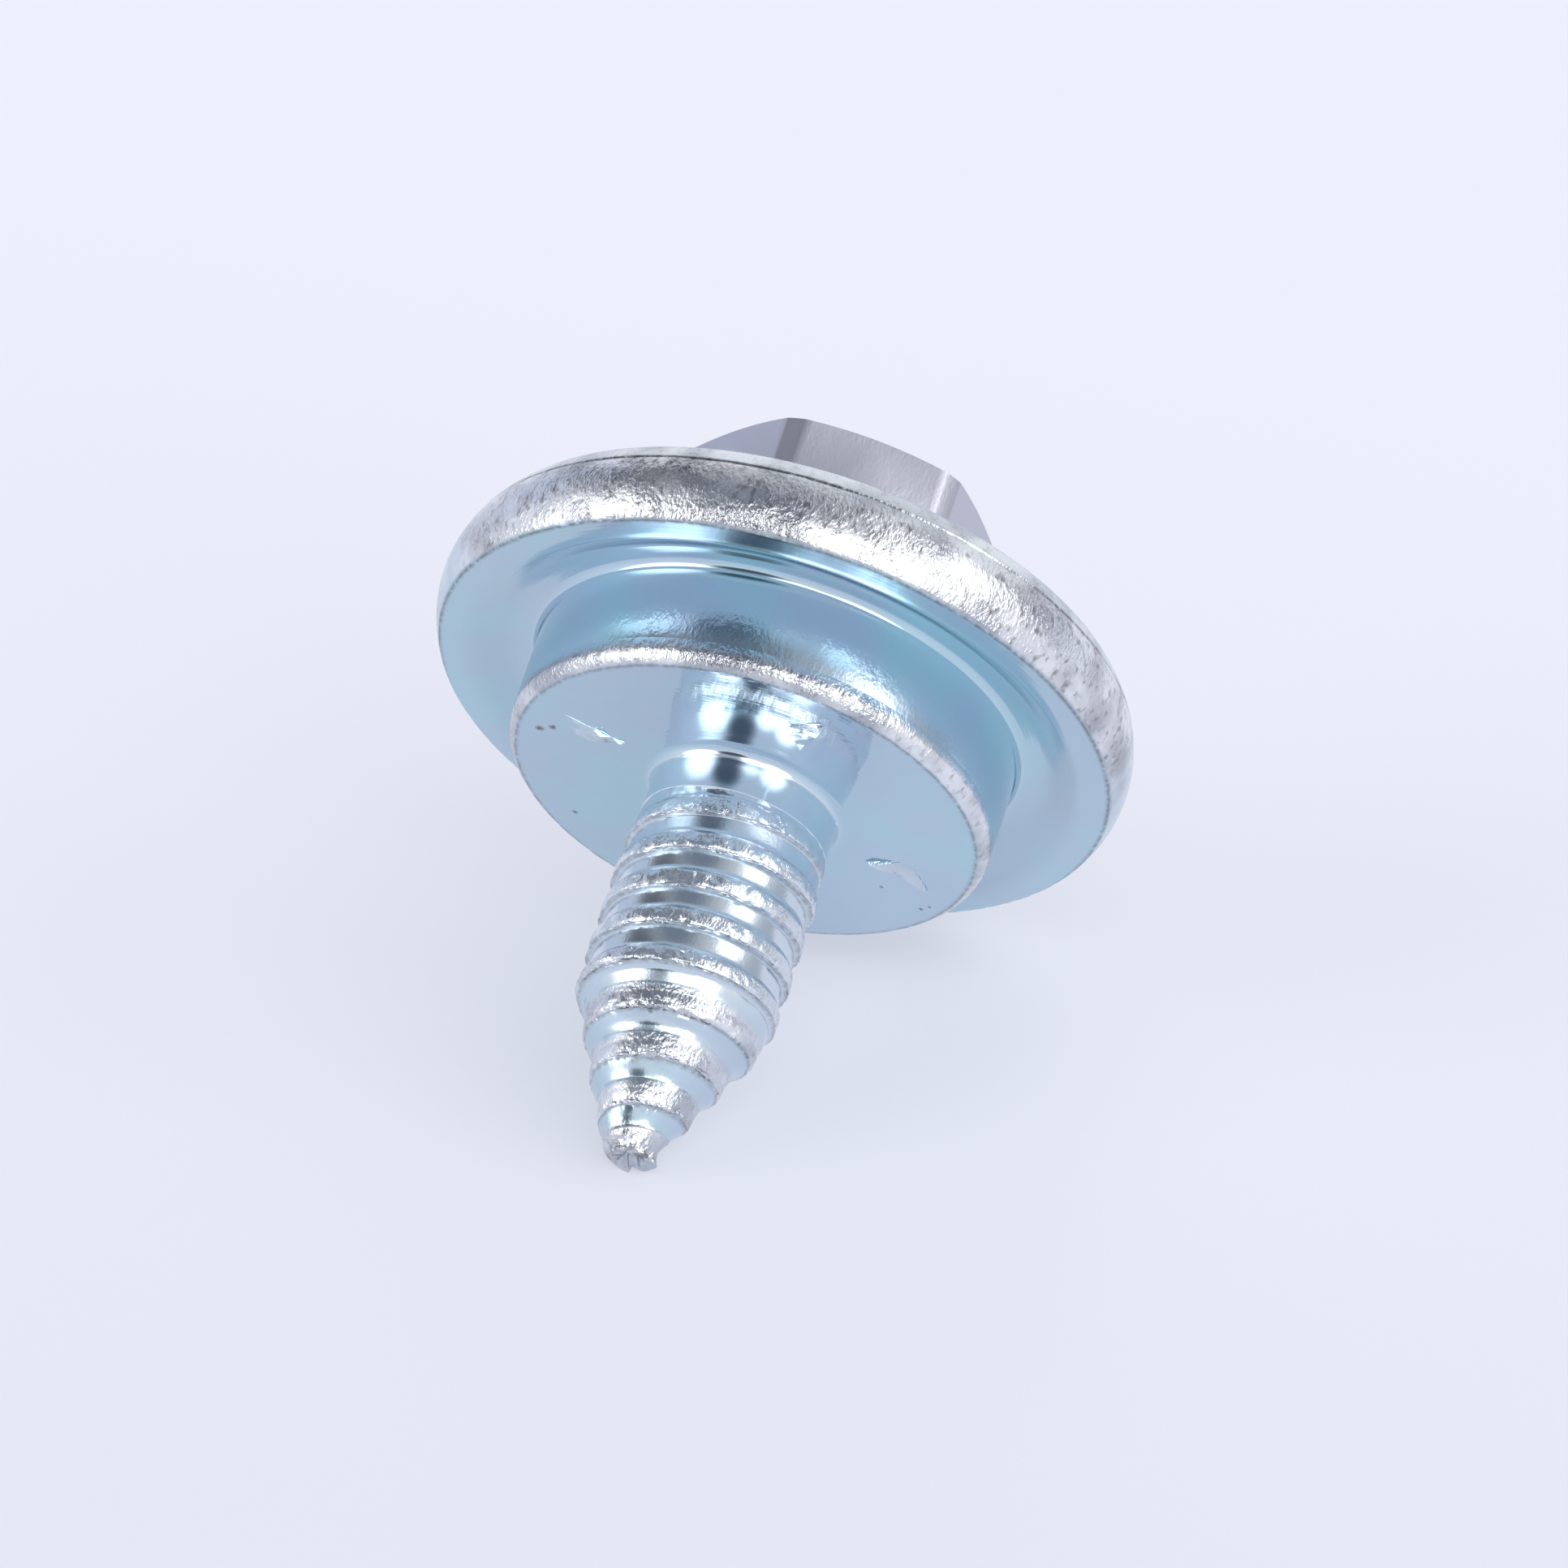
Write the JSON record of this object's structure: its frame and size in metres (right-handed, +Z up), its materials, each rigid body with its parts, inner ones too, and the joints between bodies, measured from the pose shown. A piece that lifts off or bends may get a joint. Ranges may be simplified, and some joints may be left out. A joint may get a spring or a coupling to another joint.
{
  "type": "flange tapping screw",
  "caption": "Zinc-plated self-tapping screw with a hexagon head, a thick round-rimmed flange, a shoulder collar and a coarse thread that ends in a cone point.",
  "frame": {"origin": "on the resting plane, under the middle of the bounding box of the screw as it lies", "axes": "+Z up from the resting plane; the screw lies on its flange rim and its point, with the point towards -Y and the head towards +Y; its axis lies in the YZ plane"},
  "size_m": [0.0192, 0.0202, 0.0169],
  "materials": {
    "zinc_steel": "bright blue-white zinc plate on steel, grainy on the rim and the thread's tops"
  },
  "bodies": {
    "root": {"screw": "zinc_steel"}
  },
  "joints": []
}
